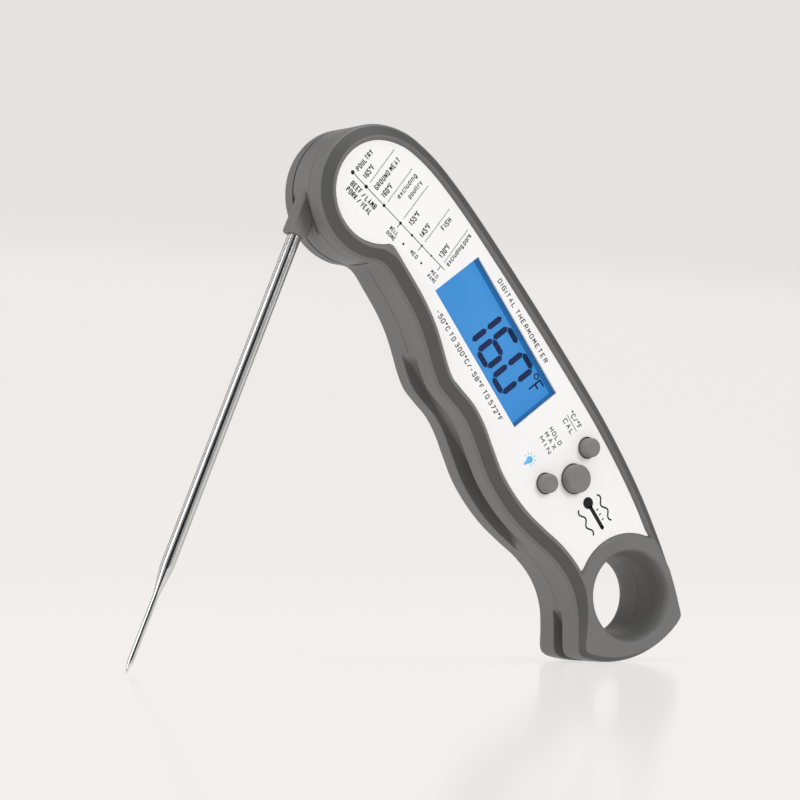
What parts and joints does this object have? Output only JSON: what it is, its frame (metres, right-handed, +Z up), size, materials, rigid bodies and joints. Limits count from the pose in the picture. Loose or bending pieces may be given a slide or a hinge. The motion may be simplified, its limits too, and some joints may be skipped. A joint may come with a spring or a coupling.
{
  "type": "folding digital meat thermometer",
  "caption": "Folding digital probe thermometer: shaped grip with lit display, push buttons and hanging ring, and a stepped steel probe on a round hinge hub.",
  "frame": {"origin": "centre of the bounding box at the ground, under the standing thermometer", "axes": "+X towards the ring end, +Z up, -Y out of the display face"},
  "size_m": [0.1582, 0.023, 0.1356],
  "materials": {
    "grey_abs": "satin fine texture",
    "printed_face": "satin white print",
    "clear_lens": "clear moulded window",
    "lcd": "lit blue display",
    "light_panel": "blue light panel",
    "frame_plastic": "moulded",
    "zebra_rubber": "matte",
    "board_green": "solder mask",
    "black_plastic": "moulded",
    "glass_tube": "clear",
    "spring_steel": "nickel plated",
    "cell_steel": "brushed",
    "magnet_nickel": "plated",
    "screw_steel": "zinc plated",
    "washer_nylon": "moulded",
    "lead_insulation": "extruded",
    "seal_rubber": "matte",
    "probe_steel": "polished stainless",
    "bead_ceramic": "epoxy coated",
    "button_grey": "satin"
  },
  "bodies": {
    "handle": {"front_shell": "grey_abs", "back_shell": "grey_abs", "shell_gasket": "seal_rubber", "face_plate": "printed_face", "window_lens": "clear_lens", "lcd_frame": "frame_plastic", "lcd_glass": "lcd", "backlight_panel": "light_panel", "zebra_strips": "zebra_rubber", "circuit_board": "board_green", "controller_chip": "black_plastic", "button_switches": "black_plastic", "reed_switch": "glass_tube", "battery_clip": "spring_steel", "battery_spring": "spring_steel", "battery_cell": "cell_steel", "magnets": "magnet_nickel", "shell_screws": "screw_steel", "pivot_pin": "screw_steel", "pivot_washers": "washer_nylon", "hub_leads": "lead_insulation"},
    "probe": {"probe_hub": "grey_abs", "hub_o_rings": "seal_rubber", "hub_magnet": "magnet_nickel", "probe_tube": "probe_steel", "sensor_bead": "bead_ceramic", "sensor_leads": "lead_insulation"},
    "unit_button": {"unit_button": "button_grey"},
    "hold_button": {"hold_button": "button_grey"},
    "light_button": {"light_button": "button_grey"},
    "battery_cover": {"battery_cover": "grey_abs", "cover_o_ring": "seal_rubber"}
  },
  "joints": [
    {"name": "probe_fold", "type": "hinge", "parent": "handle", "child": "probe", "pos_m": [-0.01359, 0.00153, 0.1183], "axis": [0, -1, 0], "range_deg": [-121.54, 58.46]},
    {"name": "unit_button_press", "type": "slide", "parent": "handle", "child": "unit_button", "axis": [0, 1, 0], "range_m": [0, 0.0005], "stiffness_N_per_m": 900, "springref_m": -0.0006},
    {"name": "hold_button_press", "type": "slide", "parent": "handle", "child": "hold_button", "axis": [0, 1, 0], "range_m": [0, 0.0005], "stiffness_N_per_m": 900, "springref_m": -0.0006},
    {"name": "light_button_press", "type": "slide", "parent": "handle", "child": "light_button", "axis": [0, 1, 0], "range_m": [0, 0.0005], "stiffness_N_per_m": 900, "springref_m": -0.0006},
    {"name": "battery_cover_turn", "type": "hinge", "parent": "handle", "child": "battery_cover", "pos_m": [0.02066, 0.01153, 0.08125], "axis": [0, -1, 0], "range_deg": [0, 45]}
  ]
}
